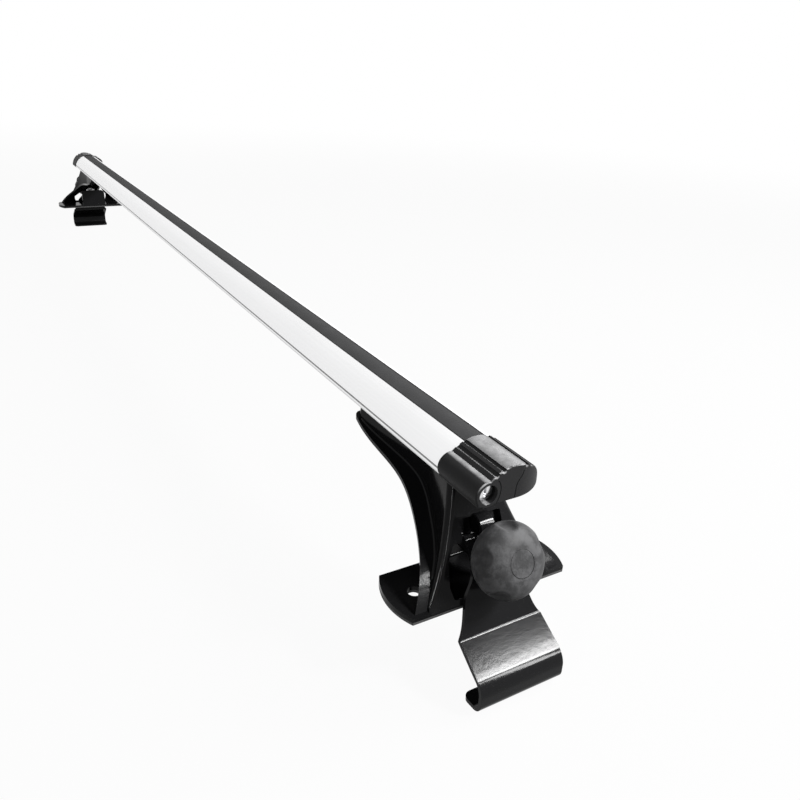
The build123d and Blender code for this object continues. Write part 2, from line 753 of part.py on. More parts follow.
with BuildPart() as knob:
    with BuildSketch(clamp_plane):
        with BuildLine():
            rim = (knob_start + knob_rim_height, knob_radius)
            Line((knob_start, 0), (knob_start, knob_base_radius))
            ThreePointArc(
                (knob_start, knob_base_radius),
                (knob_start + knob_belly[0] * knob_height, knob_belly[1] * knob_radius),
                rim,
            )
            Spline(
                rim,
                (knob_start + knob_shoulder[0] * knob_height, knob_shoulder[1] * knob_radius),
                (knob_top, knob_crown_radius),
                tangents=[(1, 0), (0.2, -1)],
            )
            Line((knob_top, knob_crown_radius), (knob_top, 0))
            Line((knob_top, 0), (knob_start, 0))
        make_face()
    revolve(axis=clamp_axis)
    with Locations(face_plane.offset(knob_start + knob_dent_height)):
        with PolarLocations(knob_dent_circle, knob_dents, start_angle=knob_dent_turn):
            Sphere(knob_dent_radius, mode=Mode.SUBTRACT)
    with BuildSketch(face_plane.offset(knob_start)):
        Circle(knob_bore_radius)
    extrude(amount=knob_bore_depth, mode=Mode.SUBTRACT)
    with BuildSketch(face_plane.offset(knob_start)):
        RegularPolygon(nut_flats / 2 + nut_clearance, 6, major_radius=False)
    extrude(amount=nut_recess + nut_height, mode=Mode.SUBTRACT)
    with BuildSketch(face_plane.offset(knob_top)):
        Circle(knob_disc_radius + knob_disc_clearance)
    extrude(amount=-knob_disc_thickness, mode=Mode.SUBTRACT)
save_pair(knob.part, "knob")

with BuildPart() as knob_cap:
    with BuildSketch(face_plane.offset(knob_top - knob_disc_thickness)):
        Circle(knob_disc_radius)
    extrude(amount=knob_disc_thickness)
    chamfer(knob_cap.faces().sort_by(Axis.X)[-1].edges(), knob_disc_edge)
save_pair(knob_cap.part, "knob_cap")
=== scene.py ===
"""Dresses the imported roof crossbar: finishes for every node, smooth skins and a studio."""

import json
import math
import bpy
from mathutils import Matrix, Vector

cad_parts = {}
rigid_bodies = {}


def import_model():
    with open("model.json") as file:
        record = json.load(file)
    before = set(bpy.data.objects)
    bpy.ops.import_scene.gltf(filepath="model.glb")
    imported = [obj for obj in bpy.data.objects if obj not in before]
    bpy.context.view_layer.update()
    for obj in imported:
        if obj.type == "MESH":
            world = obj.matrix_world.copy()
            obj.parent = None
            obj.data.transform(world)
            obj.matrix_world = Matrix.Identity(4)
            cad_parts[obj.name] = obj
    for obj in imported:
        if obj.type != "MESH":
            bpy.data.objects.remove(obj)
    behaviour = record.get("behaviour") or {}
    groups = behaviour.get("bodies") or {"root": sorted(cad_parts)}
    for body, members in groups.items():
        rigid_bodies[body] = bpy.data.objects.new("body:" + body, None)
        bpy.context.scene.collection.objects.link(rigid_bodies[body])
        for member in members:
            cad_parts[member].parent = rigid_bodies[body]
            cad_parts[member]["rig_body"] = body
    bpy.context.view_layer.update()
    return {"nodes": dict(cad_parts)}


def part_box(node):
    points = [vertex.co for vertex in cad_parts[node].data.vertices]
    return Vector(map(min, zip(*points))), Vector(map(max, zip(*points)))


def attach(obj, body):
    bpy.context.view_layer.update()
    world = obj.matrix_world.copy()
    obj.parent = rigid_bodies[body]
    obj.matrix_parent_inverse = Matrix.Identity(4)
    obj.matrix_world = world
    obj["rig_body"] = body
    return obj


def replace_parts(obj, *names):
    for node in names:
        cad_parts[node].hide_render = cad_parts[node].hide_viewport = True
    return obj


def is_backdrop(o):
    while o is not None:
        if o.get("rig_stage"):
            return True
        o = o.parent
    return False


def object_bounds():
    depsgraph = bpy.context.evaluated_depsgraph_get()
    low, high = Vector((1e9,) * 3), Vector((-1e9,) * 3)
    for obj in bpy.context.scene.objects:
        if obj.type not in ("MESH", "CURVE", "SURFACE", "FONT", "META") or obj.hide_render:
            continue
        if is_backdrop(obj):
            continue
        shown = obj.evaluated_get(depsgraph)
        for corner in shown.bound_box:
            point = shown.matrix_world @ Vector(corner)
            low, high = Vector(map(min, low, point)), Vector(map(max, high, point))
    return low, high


bl_info = {
    "name": "Roof Crossbar",
    "version": (1, 0, 0),
    "blender": (4, 5, 0),
    "location": "3D View > Sidebar > Crossbar",
    "description": "Finishes and studio for a clamp-on roof crossbar",
    "category": "Object",
}

import bmesh
import bpy
import numpy as np
from mathutils import Matrix, Vector

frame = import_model()

SIDES = ("right", "left")
MM = 0.001
# Cleaning of a mesh: points this near are merged, faces this level are joined, sharper edges stay
SAME_POINT = 0.002 * MM
SAME_PLANE = math.radians(0.4)
SKIN_CREASE = math.radians(35)
SURFACE_CREASE = math.radians(40)
# Where the clamp bolt leaves the front face, in millimetres, and how far it rises as the face leans
CLAMP_ORIGIN = np.array([620.934, 0.0, 23.3])
FACE_LEAN = math.radians(24.9)
# How far out along the clamp bolt the knob starts, in millimetres
KNOB_START = 4.6
# The near foot's origin along the bar and the slot bolts' places from it, in millimetres
FOOT_X = 609.7
SLOT_BOLTS = {"front": -27.0, "rear": -99.0}
# What a slot bolt keeps plain below its thread, in millimetres
BOLT_END = 0.7
# Where along the bar the near foot's beads begin and end, in millimetres
BEAD_SPAN = (496.1, 618.4)
# For the finishes, in metres: the height of the bar's side groove, where a painted shade line runs,
# the band below which the bar's foot takes painted shade, and the distance from the strip's middle
# over which painted shadow darkens its edge
GROOVE_HEIGHT = 0.0729
SHADED_FOOT_BAND = (0.0706, 0.0718)
STRIP_EDGE_SHADOW = (0.0060, 0.0070)


class CrossbarBarSettings(bpy.types.PropertyGroup):
    """Sizes and colours of the bar, its strip and its end caps."""

    aluminium: bpy.props.FloatVectorProperty(
        name="Aluminium",
        description="Colour of the anodised extrusion",
        subtype="COLOR",
        size=3,
        min=0,
        max=1,
        default=(0.88, 0.88, 0.885),
    )
    rubber: bpy.props.FloatVectorProperty(
        name="Strip rubber",
        description="Colour of the strip along the top",
        subtype="COLOR",
        size=3,
        min=0,
        max=1,
        default=(0.011, 0.011, 0.0114),
    )
    cap: bpy.props.FloatVectorProperty(
        name="Cap plastic",
        description="Colour of the end caps where they aren't worn",
        subtype="COLOR",
        size=3,
        min=0,
        max=1,
        default=(0.007, 0.007, 0.0073),
    )
    # Colour of the caps' paler, mottled upper side and of the painted highlight on their rounded
    # edges
    cap_top_and_highlight: bpy.props.FloatVectorProperty(
        name="Worn cap plastic",
        description="Colour of the rubbed upper side of the caps",
        subtype="COLOR",
        size=3,
        min=0,
        max=1,
        default=(0.17, 0.17, 0.172),
    )
    cap_edge_radius: bpy.props.FloatProperty(
        name="Cap edge radius",
        description="Rounding of the sharp edges of the caps",
        default=0.0004,
        min=0,
        unit="LENGTH",
    )


class CrossbarFootSettings(bpy.types.PropertyGroup):
    """Sizes and colours of the feet and hooks."""

    paint: bpy.props.FloatVectorProperty(
        name="Paint",
        description="Colour of the gloss paint on the pressed steel",
        subtype="COLOR",
        size=3,
        min=0,
        max=1,
        default=(0.005, 0.005, 0.0053),
    )
    edge_radius: bpy.props.FloatProperty(
        name="Sheet edge radius",
        description="Rounding of the sheared edges under the paint",
        default=0.0005,
        min=0,
        unit="LENGTH",
    )
    bead_radius: bpy.props.FloatProperty(
        name="Root bead radius",
        description="Radius of the pressed bead along the root of the flange",
        default=0.0014,
        min=0,
        unit="LENGTH",
    )
    thread_pitch: bpy.props.FloatProperty(
        name="Thread pitch",
        description="Rise of one turn on the slot bolts",
        default=0.001,
        min=0.0005,
        unit="LENGTH",
    )


class CrossbarKnobSettings(bpy.types.PropertyGroup):
    """Shape and colour of the hand knobs."""

    radius: bpy.props.FloatProperty(
        name="Radius",
        description="Widest radius of the knob",
        default=0.0218,
        min=0,
        unit="LENGTH",
    )
    height: bpy.props.FloatProperty(
        name="Height",
        description="Height of the knob along its bolt",
        default=0.0284,
        min=0,
        unit="LENGTH",
    )
    dents: bpy.props.IntProperty(
        name="Dents",
        description="Number of finger dents round the rim",
        default=5,
        min=1,
    )
    dent_depth: bpy.props.FloatProperty(
        name="Dent depth",
        description="Depth of a finger dent",
        default=0.0028,
        min=0,
        unit="LENGTH",
    )
    plastic: bpy.props.FloatVectorProperty(
        name="Plastic",
        description="Colour of the moulded knob",
        subtype="COLOR",
        size=3,
        min=0,
        max=1,
        default=(0.015, 0.015, 0.0154),
    )


class CrossbarStudioSettings(bpy.types.PropertyGroup):
    """Camera, lamps and floor."""

    position: bpy.props.FloatVectorProperty(
        name="Camera position",
        description="Place of the camera",
        subtype="TRANSLATION",
        size=3,
        unit="LENGTH",
        default=(0.89385, -0.22962, 0.27777),
    )
    heading: bpy.props.FloatProperty(
        name="Heading",
        description="Compass angle of the view, from +X",
        default=math.radians(148.6),
        unit="ROTATION",
    )
    tilt: bpy.props.FloatProperty(
        name="Tilt",
        description="How far the camera looks down",
        default=math.radians(24.53),
        unit="ROTATION",
    )
    roll: bpy.props.FloatProperty(
        name="Roll",
        description="Turn of the camera about its view",
        default=math.radians(3.09),
        unit="ROTATION",
    )
    lens: bpy.props.FloatProperty(
        name="Lens",
        description="Focal length on a 36 mm sensor",
        default=33.85,
        min=10,
        unit="CAMERA",
    )
    world_light: bpy.props.FloatProperty(
        name="Room light",
        description="Strength of the light from all round",
        default=0.16,
        min=0,
    )
    key_light: bpy.props.FloatProperty(
        name="Key lamp",
        description="Power of the main soft lamp",
        default=18.0,
        min=0,
        unit="POWER",
    )


class Value:
    """A shader socket that takes part in Python arithmetic: each operator adds a Math node."""

    def __init__(self, finish, socket):
        self.finish, self.socket = finish, socket

    def math(self, operation, *terms):
        """A Math node of this operation on values or numbers."""
        inputs = dict(enumerate(terms))
        return self.finish.node("ShaderNodeMath", inputs, operation=operation)

    def output(self, name):
        """Another output of the same node."""
        return Value(self.finish, self.socket.node.outputs[name])

    def __add__(self, other):
        return self.math("ADD", self, other)

    def __sub__(self, other):
        return self.math("SUBTRACT", self, other)

    def __rsub__(self, other):
        return self.math("SUBTRACT", other, self)

    def __mul__(self, other):
        return self.math("MULTIPLY", self, other)

    def __abs__(self):
        return self.math("ABSOLUTE", self)

    __radd__ = __add__
    __rmul__ = __mul__


class Finish:
    """The nodes of one material or world, built one by one."""

    def __init__(self, name, world=False):
        self.owner = (bpy.data.worlds if world else bpy.data.materials).new(name)
        self.owner.use_nodes = True
        self.tree = self.owner.node_tree
        self.tree.nodes.clear()
        self.place = self.node("ShaderNodeTexCoord", output="Object")

    def node(self, kind, inputs=None, output=0, **settings):
        """Add one node: its settings first, then the values or links of its sockets."""
        node = self.tree.nodes.new(kind)
        for name, value in settings.items():
            setattr(node, name, value)
        for name, value in (inputs or {}).items():
            if isinstance(value, Value):
                self.tree.links.new(value.socket, node.inputs[name])
            else:
                node.inputs[name].default_value = value
        return Value(self, node.outputs[output]) if node.outputs else None

    def noise(self, scale, detail, roughness, stretch=(1, 1, 1)):
        """Noise over the object's own place; a factor below 1 draws it out along that axis."""
        where = self.node("ShaderNodeMapping", {"Vector": self.place, "Scale": stretch})
        inputs = {"Vector": where, "Scale": scale, "Detail": detail, "Roughness": roughness}
        return self.node("ShaderNodeTexNoise", inputs)

    def step(self, value, low, high):
        """0 below low, 1 above high and a smooth rise between."""
        inputs = {"Value": value, "From Min": low, "From Max": high}
        return self.node("ShaderNodeMapRange", inputs, interpolation_type="SMOOTHSTEP")

    def axis(self, name, vector=None):
        """One coordinate of the object's own place, or of another vector."""
        return self.node("ShaderNodeSeparateXYZ", {0: vector or self.place}, output=name)

    def facing(self, name):
        """One coordinate of the surface's direction."""
        return self.axis(name, self.node("ShaderNodeNewGeometry", output="Normal"))

    def blend(self, first, second, factor):
        """Colour between the first at 0 and the second at 1.

        A Mix node's inputs 6 and 7 are its two colours, and its output 2 is the mixed one.
        """
        inputs = {0: factor, 6: self.colour(first), 7: self.colour(second)}
        return self.node("ShaderNodeMix", inputs, output=2, data_type="RGBA")

    def colour(self, value):
        """A colour as a socket takes it."""
        return value if isinstance(value, Value) else (*value, 1.0)

    def relief(self, height, depth, strength):
        """Normal of a surface that rises by depth where height is 1, felt by this strength."""
        inputs = {"Height": height, "Distance": depth, "Strength": strength}
        return self.node("ShaderNodeBump", inputs)

    def surface(self, **sockets):
        """Close the material with a Principled surface; names take spaces for underscores."""
        inputs = {name.replace("_", " "): value for name, value in sockets.items()}
        inputs["Base Color"] = self.colour(inputs["Base Color"])
        return self.close(self.node("ShaderNodeBsdfPrincipled", inputs))

    def close(self, shader, kind="ShaderNodeOutputMaterial"):
        """Link the finished shader to the output and give back the material or world."""
        self.node(kind, {"Surface": shader})
        return self.owner

    def white_where_seen(self, plain, white, share):
        """The plain shader for light, and a share of the white one where a ray looks at it.

        Such rays come from the camera, from a mirror or through glass.
        """
        path = self.node("ShaderNodeLightPath", output="Is Camera Ray")
        seen = path.math("MAXIMUM", path, path.output("Is Glossy Ray"))
        seen = seen.math("MAXIMUM", seen, path.output("Is Transmission Ray"))
        return self.node("ShaderNodeMixShader", {0: seen * share, 1: plain, 2: white})


def aluminium(settings):
    """Anodised extrusion: fine die lines, a painted shade line in the side grooves and painted
    shade on its foot.
    """
    finish = Finish("anodised aluminium")
    lines = finish.noise(900, 3, 0.6, (0.004, 1, 1))
    cloud = finish.noise(14, 3, 0.5)
    height = finish.axis("Z")
    # painted shade: a dark line blended into the colour along the side groove's height
    groove_shade = 1 - finish.step(abs(height - GROOVE_HEIGHT), 0.00025, 0.0007)
    # painted shade: the bar's colour darkens below this band near its bottom
    foot = 1 - finish.step(height, *SHADED_FOOT_BAND)
    # the duller tone is for the die lines; the near-black one is painted shade for the groove and
    # the foot
    dull, painted_shade = (tuple(share * c for c in settings.aluminium) for share in (0.93, 0.06))
    shade = finish.blend(dull, settings.aluminium, lines)
    shade = finish.blend(shade, painted_shade, groove_shade * 0.85 + foot * 0.35)
    return finish.surface(
        Base_Color=shade,
        Metallic=1.0,
        Roughness=0.3 + 0.1 * cloud + 0.06 * lines,
        Normal=finish.relief(lines, 0.00004, 0.35),
    )


def strip_rubber(settings):
    """Extruded rubber: fine ribs along the strip, dust in the grain, and painted shadow darkening
    its edges.
    """
    finish = Finish("strip rubber")
    ribs = finish.noise(700, 2, 0.5, (0.003, 1, 1))
    grain = finish.noise(1800, 2, 0.6)
    dusty = finish.step(finish.noise(55, 4, 0.6), 0.45, 0.75)
    light = tuple(1.9 * c for c in settings.rubber)
    shade = finish.blend(settings.rubber, light, dusty * 0.5 + grain * 0.3)
    # painted shadow: the colour goes to near black towards both edges of the strip, where it sits
    # in the bar's slot
    edge = finish.step(abs(finish.axis("Y")), *STRIP_EDGE_SHADOW)
    return finish.surface(
        Base_Color=finish.blend(shade, (0.0005, 0.0005, 0.0005), edge),
        Roughness=0.58 + 0.2 * grain + 0.2 * edge,
        Specular_IOR_Level=0.18,
        Normal=finish.relief(ribs * 0.6 + grain * 0.4, 0.00012, 0.5),
    )


def cap_plastic(settings):
    """Moulded cap: grainy, its upper side paler and mottled, with a painted highlight along its
    rounded edges that is broken up like chips.
    """
    finish = Finish("cap plastic")
    grain = finish.noise(1500, 3, 0.6)
    blotch = finish.noise(120, 5, 0.65)
    # the upward faces take the paler colour, mottled by the blotch noise
    upward = finish.step(finish.facing("Z"), 0.93, 1.0)
    # painted highlight: the rounded edges between top and ends take the paler colour, broken up
    # like chipped plastic
    edge = finish.step(abs(finish.facing("X")) * finish.facing("Z"), 0.12, 0.40)
    paler_top_and_edge_highlight = upward * (0.6 + 0.4 * finish.step(blotch, 0.30, 0.66))
    paler_top_and_edge_highlight = paler_top_and_edge_highlight + edge * finish.step(blotch, 0.40, 0.60)
    return finish.surface(
        Base_Color=finish.blend(settings.cap, settings.cap_top_and_highlight, paler_top_and_edge_highlight + 0.02 * grain),
        Roughness=0.48 + 0.2 * paler_top_and_edge_highlight + 0.1 * grain,
        Specular_IOR_Level=0.10,
        Normal=finish.relief(grain * 0.6 + blotch * 0.4, 0.00018, 0.45),
    )


def black_paint(settings):
    """Gloss black paint on pressed steel: slight orange peel and fine dust."""
    finish = Finish("gloss black paint")
    peel = finish.noise(320, 2, 0.5)
    wave = finish.noise(28, 2, 0.4)
    dust = finish.step(finish.noise(2600, 1, 0.5), 0.70, 0.78)
    return finish.surface(
        Base_Color=finish.blend(settings.paint, (0.05, 0.05, 0.052), dust * 0.5),
        Roughness=0.10 + 0.06 * wave + 0.2 * dust,
        Specular_IOR_Level=0.06,
        Coat_Weight=0.03,
        Coat_Roughness=0.05,
        Normal=finish.relief(peel * 0.5 + wave * 0.5, 0.00016, 0.3),
    )


def pad_rubber():
    """Soft black rubber with a fine mottled grain."""
    finish = Finish("pad rubber")
    grain = finish.noise(1100, 3, 0.6)
    return finish.surface(
        Base_Color=finish.blend((0.014, 0.014, 0.014), (0.04, 0.04, 0.04), grain),
        Roughness=0.7 + 0.2 * grain,
        Normal=finish.relief(grain, 0.0002, 0.5),
    )


def knob_plastic(name, settings):
    """Moulded knob: dull grain with paler rubbed patches."""
    finish = Finish(name)
    grain = finish.noise(1300, 3, 0.6)
    patch = finish.step(finish.noise(85, 6, 0.7), 0.42, 0.62)
    fine = finish.noise(420, 4, 0.7)
    light = tuple(3.8 * c for c in settings.plastic)
    return finish.surface(
        Base_Color=finish.blend(settings.plastic, light, patch * 0.55 + fine * 0.35),
        Roughness=0.40 + 0.14 * patch + 0.1 * grain,
        Specular_IOR_Level=0.1,
        Normal=finish.relief(grain * 0.4 + fine * 0.6, 0.00022, 0.7),
    )


def lock_chrome():
    """Bright plated key barrel with the haze of handling."""
    finish = Finish("lock chrome")
    haze = finish.noise(260, 4, 0.6)
    return finish.surface(
        Base_Color=finish.blend((0.80, 0.80, 0.81), (0.62, 0.62, 0.63), haze),
        Metallic=1.0,
        Roughness=0.08 + 0.14 * haze,
        Normal=finish.relief(haze, 0.00004, 0.3),
    )


def zinc_steel():
    """Zinc plated fasteners: patchy grey with a slight spangle."""
    finish = Finish("zinc steel")
    patch = finish.noise(420, 4, 0.6)
    fine = finish.noise(2400, 2, 0.5)
    return finish.surface(
        Base_Color=finish.blend((0.50, 0.50, 0.51), (0.70, 0.70, 0.70), patch),
        Metallic=1.0,
        Roughness=0.26 + 0.2 * patch + 0.08 * fine,
        Normal=finish.relief(patch * 0.5 + fine * 0.5, 0.00005, 0.4),
    )


def paint_node(node, material):
    """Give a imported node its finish."""
    shown = frame["nodes"][node]
    shown.data.materials.clear()
    shown.data.materials.append(material)


def body_of(node):
    """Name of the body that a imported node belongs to."""
    return frame["nodes"][node]["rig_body"]


def add_object(name, data):
    """A new object with this data, linked to the scene."""
    added = bpy.data.objects.new(name, data)
    bpy.context.scene.collection.objects.link(added)
    return added


def skin(node, name, material, edge_radius):
    """Smooth stand-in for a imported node: its own merged mesh with rounded edges.

    Weighted normals keep the large faces level in shading beside those edges.
    """
    mesh = frame["nodes"][node].data.copy()
    mesh.materials.clear()
    mesh.materials.append(material)
    work = bmesh.new()
    work.from_mesh(mesh)
    bmesh.ops.remove_doubles(work, verts=work.verts, dist=SAME_POINT)
    bmesh.ops.dissolve_limit(
        work, angle_limit=SAME_PLANE, verts=work.verts, edges=work.edges, delimit={"NORMAL"}
    )
    work.to_mesh(mesh)
    work.free()
    piece = add_object(name, mesh)
    rounding = piece.modifiers.new("edge", "BEVEL")
    rounding.width = edge_radius
    rounding.segments = 2
    rounding.limit_method = "ANGLE"
    rounding.angle_limit = SKIN_CREASE
    rounding.use_clamp_overlap = True
    mesh.shade_smooth()
    mesh.set_sharp_from_angle(angle=SKIN_CREASE)
    flats = piece.modifiers.new("flat faces", "WEIGHTED_NORMAL")
    flats.keep_sharp = True
    flats.weight = 80
    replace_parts(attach(piece, body_of(node)), node)


def add_surface(name, points, material):
    """Mesh of a grid of points: rows follow each other along the surface and close round it.

    Each quad joins a point with the next in its row and the two in the row beyond.
    """
    rows, columns = points.shape[:2]
    here = np.arange(rows * columns).reshape(rows, columns)
    ahead = np.roll(here, -1, axis=1)
    quads = np.stack([here[:-1], ahead[:-1], ahead[1:], here[1:]], axis=-1).reshape(-1, 4)
    mesh = bpy.data.meshes.new(name)
    mesh.from_pydata(points.reshape(-1, 3).tolist(), [], quads.tolist())
    work = bmesh.new()
    work.from_mesh(mesh)
    bmesh.ops.remove_doubles(work, verts=work.verts, dist=SAME_POINT)
    bmesh.ops.recalc_face_normals(work, faces=work.faces)
    work.to_mesh(mesh)
    work.free()
    mesh.materials.append(material)
    mesh.shade_smooth()
    mesh.set_sharp_from_angle(angle=SURFACE_CREASE)
    return add_object(name, mesh)


def on_side(points, side):
    """The points as they are for the right side, and half a turn about Z away for the left one."""
    return points if side == "right" else points * np.array([-1, -1, 1])


def on_clamp_axis(height, radius, angle):
    """Points round the clamp bolt: so far outward along it, so far from it, at this angle.

    place = origin + outward * height + radius * (across * cos(angle) + up the face * sin(angle)),
    worked out in millimetres and given back in metres.
    """
    outward = np.array([math.cos(FACE_LEAN), 0.0, math.sin(FACE_LEAN)])
    up_face = np.array([-math.sin(FACE_LEAN), 0.0, math.cos(FACE_LEAN)])
    across = np.array([0.0, 1.0, 0.0])
    grids = np.broadcast_arrays(height, radius, angle)
    height, radius, angle = (grid[..., None] for grid in grids)
    round_axis = across * np.cos(angle) + up_face * np.sin(angle)
    return (CLAMP_ORIGIN + outward * height + radius * round_axis) * MM


def smoothstep(value):
    """3 v^2 - 2 v^3 of the value held between 0 and 1."""
    value = np.clip(value, 0, 1)
    return value * value * (3 - 2 * value)


def knob_points(settings):
    """Grid of the knob's skin: a profile turned about the bolt, with smooth finger hollows.

    Below the rim the radius swells as a power of a sine of the height, and above it the dome is
    close to a quarter ellipse that ends at the disc. A hollow pushes the skin in and down by
    depth * smoothstep(1 - d^2 / r^2), where d is the distance over the skin from the hollow's
    middle and r its radius.
    """
    rim, height = settings.radius / MM, settings.height / MM
    base, crown, rim_height = 11.5, 8.8, 16.0
    bore, bore_height, pocket, pocket_height, base_rounding = 4.5, 21.5, 7.6, 7.1, 0.4
    recess, recess_depth = 7.92, 2.0
    hollow_height, hollow_radius, first_hollow = 19.0, 6.6, math.radians(16)
    push_in, push_down = 0.9, 0.4
    rise = np.linspace(0, 1, 17)
    swell = np.sin(rise * math.pi / 2) ** 0.8
    below = np.stack([rise * rim_height, base + (rim - base) * swell], axis=1)
    sweep = np.linspace(0, math.pi / 2, 26)[1:]
    dome_height = rim_height + (height - rim_height) * np.sin(sweep) ** 1.06
    dome = np.stack([dome_height, crown + (rim - crown) * np.cos(sweep) ** 1.06], axis=1)
    outside = np.concatenate([below, dome])
    inside = np.array(
        [
            (bore_height, 0),
            (bore_height, bore),
            (pocket_height, bore),
            (pocket_height, pocket),
            (0, pocket),
            (0, base - base_rounding),
        ]
    )
    seat_height = height - recess_depth
    disc_seat = np.array([(height, recess), (seat_height, recess), (seat_height, 0)])
    profile = np.concatenate([inside, outside, disc_seat])
    on_skin = np.zeros(len(profile))
    on_skin[len(inside) : len(inside) + len(outside)] = 1
    angle = np.linspace(0, 2 * math.pi, 160, endpoint=False)
    pitch = 2 * math.pi / settings.dents
    turn = (angle - first_hollow + pitch / 2) % pitch - pitch / 2
    far = (profile[:, :1] - hollow_height) ** 2 + (profile[:, 1:] * turn[None, :]) ** 2
    push = settings.dent_depth / MM * smoothstep(1 - far / hollow_radius**2) * on_skin[:, None]
    heights = KNOB_START + profile[:, :1] - push_down * push
    return on_clamp_axis(heights, profile[:, 1:] - push_in * push, angle[None, :])


def through(points, count):
    """Smooth line through the points, read at even steps.

    Between two points it is a cubic, and at each one it runs along the chord of the neighbours.
    """
    first, last = 2 * points[:1] - points[1:2], 2 * points[-1:] - points[-2:-1]
    padded = np.concatenate([first, points, last])
    place = np.linspace(0, len(points) - 1, count)
    start = np.minimum(place.astype(int), len(points) - 2)
    t = (place - start)[:, None]
    before, here, ahead, beyond = (padded[start + shift] for shift in range(4))
    bend = 2 * before - 5 * here + 4 * ahead - beyond
    twist = 3 * here - before - 3 * ahead + beyond
    return 0.5 * (2 * here + (ahead - before) * t + bend * t**2 + twist * t**3)


def flange_root():
    """Line of the near foot's flange root on one side, over the beads' span, in millimetres.

    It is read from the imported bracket: the hollow corners above the base plate where a wall that
    faces sideways meets a flange that faces up. Between their ends the line is straight, and it
    is read at even steps of its length.
    """
    stations, plate_top, corner_angle = 11, 10 * MM, math.radians(60)
    wall_faces, flange_faces = 0.7, 0.65
    work = bmesh.new()
    work.from_mesh(frame["nodes"]["foot_bracket_right"].data)
    bmesh.ops.remove_doubles(work, verts=work.verts, dist=SAME_POINT)
    corners = [
        corner.co[:]
        for edge in work.edges
        if len(edge.link_faces) == 2
        and not edge.is_convex
        and edge.calc_face_angle() > corner_angle
        and all(corner.co.y > 0 and corner.co.z > plate_top for corner in edge.verts)
        and max(face.normal.y for face in edge.link_faces) > wall_faces
        and max(face.normal.z for face in edge.link_faces) > flange_faces
        for corner in edge.verts
    ]
    work.free()
    line = np.unique(np.round(np.array(corners) / MM, 3), axis=0)
    length = np.cumsum(np.linalg.norm(np.diff(line, axis=0, prepend=line[:1]), axis=1))
    start, end = np.interp(BEAD_SPAN, line[:, 0], length)
    steps = np.linspace(start, end, stations)
    return np.stack([np.interp(steps, length, column) for column in line.T], axis=1)


def bead_points(settings, root, across):
    """Grid of the bead along the flange's root: a circle carried along the line of the root.

    The circle lies square to the line, and its radius follows sqrt(1 - e^2) near both ends,
    where e is how far into the closing share of the length the place is, so the ends close.
    """
    closing = 0.04
    line = through(root, 90) * np.array([1, across, 1])
    ahead = np.gradient(line, axis=0)
    ahead /= np.linalg.norm(ahead, axis=1, keepdims=True)
    side = np.cross(ahead, np.array([0.0, 0.0, 1.0]))
    side /= np.linalg.norm(side, axis=1, keepdims=True)
    rise = np.cross(side, ahead)
    share = np.linspace(0, 1, len(line))
    end = np.clip(1 - np.minimum(share, 1 - share) / closing, 0, 1)
    radius = settings.bead_radius / MM * np.sqrt(1 - end**2)
    angle = np.linspace(0, 2 * math.pi, 14, endpoint=False)[None, :, None]
    ring = side[:, None] * np.cos(angle) + rise[:, None] * np.sin(angle)
    return (line[:, None] + radius[:, None, None] * ring) * MM


def thread_points(settings, middle, top, length):
    """Grid of a screw thread on a bolt at this place along the bar, from its top down.

    radius = core + ridge * wave(height / pitch - angle / turn), where the wave is a triangle with
    its tip and root cut flat, and fades out at both ends.
    """
    core, ridge = 2.98, 0.26
    rows_a_turn = 10
    pitch = settings.thread_pitch / MM
    down = np.linspace(0, length, int(length / pitch * rows_a_turn))[:, None]
    angle = np.linspace(0, 2 * math.pi, 28, endpoint=False)[None, :]
    phase = (down / pitch - angle / (2 * math.pi)) % 1.0
    triangle = 1 - abs(2 * phase - 1)
    wave = np.clip(1.6 * triangle - 0.3, 0, 1)
    fade = np.clip(np.minimum(down, length - down) / pitch, 0, 1)
    radius = core + ridge * wave * fade
    x, y = middle + radius * np.cos(angle), radius * np.sin(angle)
    return np.stack([x, y, np.broadcast_to(top - down, x.shape)], axis=-1) * MM


class CROSSBAR_OT_bar(bpy.types.Operator):
    """Finish the extrusion, the strip, the caps and their locks"""

    bl_idname = "crossbar.bar"
    bl_label = "Bar and Caps"

    def execute(self, context):
        settings = context.scene.crossbar_bar
        paint_node("bar_extrusion", aluminium(settings))
        paint_node("top_strip", strip_rubber(settings))
        plastic, chrome, zinc = cap_plastic(settings), lock_chrome(), zinc_steel()
        for side in SIDES:
            skin(f"end_cap_{side}", f"cap_shell_{side}", plastic, settings.cap_edge_radius)
            paint_node(f"lock_barrel_{side}", chrome)
            paint_node(f"lock_cam_{side}", zinc)
        return {"FINISHED"}


class CROSSBAR_OT_feet(bpy.types.Operator):
    """Finish the brackets, the hooks, the pads and the fasteners"""

    bl_idname = "crossbar.feet"
    bl_label = "Feet and Hooks"

    def execute(self, context):
        settings = context.scene.crossbar_foot
        paint, zinc, rubber = black_paint(settings), zinc_steel(), pad_rubber()
        fasteners = ("slot_bolts", "slot_washers", "slot_nuts", "clamp_bolt", "clamp_washer")
        root = flange_root()
        for side in SIDES:
            skin(f"foot_bracket_{side}", f"bracket_{side}", paint, settings.edge_radius)
            skin(f"clamp_hook_{side}", f"hook_{side}", paint, settings.edge_radius)
            paint_node(f"base_pad_{side}", rubber)
            for name, across in (("outer", -1), ("inner", 1)):
                points = on_side(bead_points(settings, root, across), side)
                bead = add_surface(f"bead_{name}_{side}", points, paint)
                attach(bead, f"foot_{side}")
            for fastener in fasteners:
                paint_node(f"{fastener}_{side}", zinc)
        return {"FINISHED"}


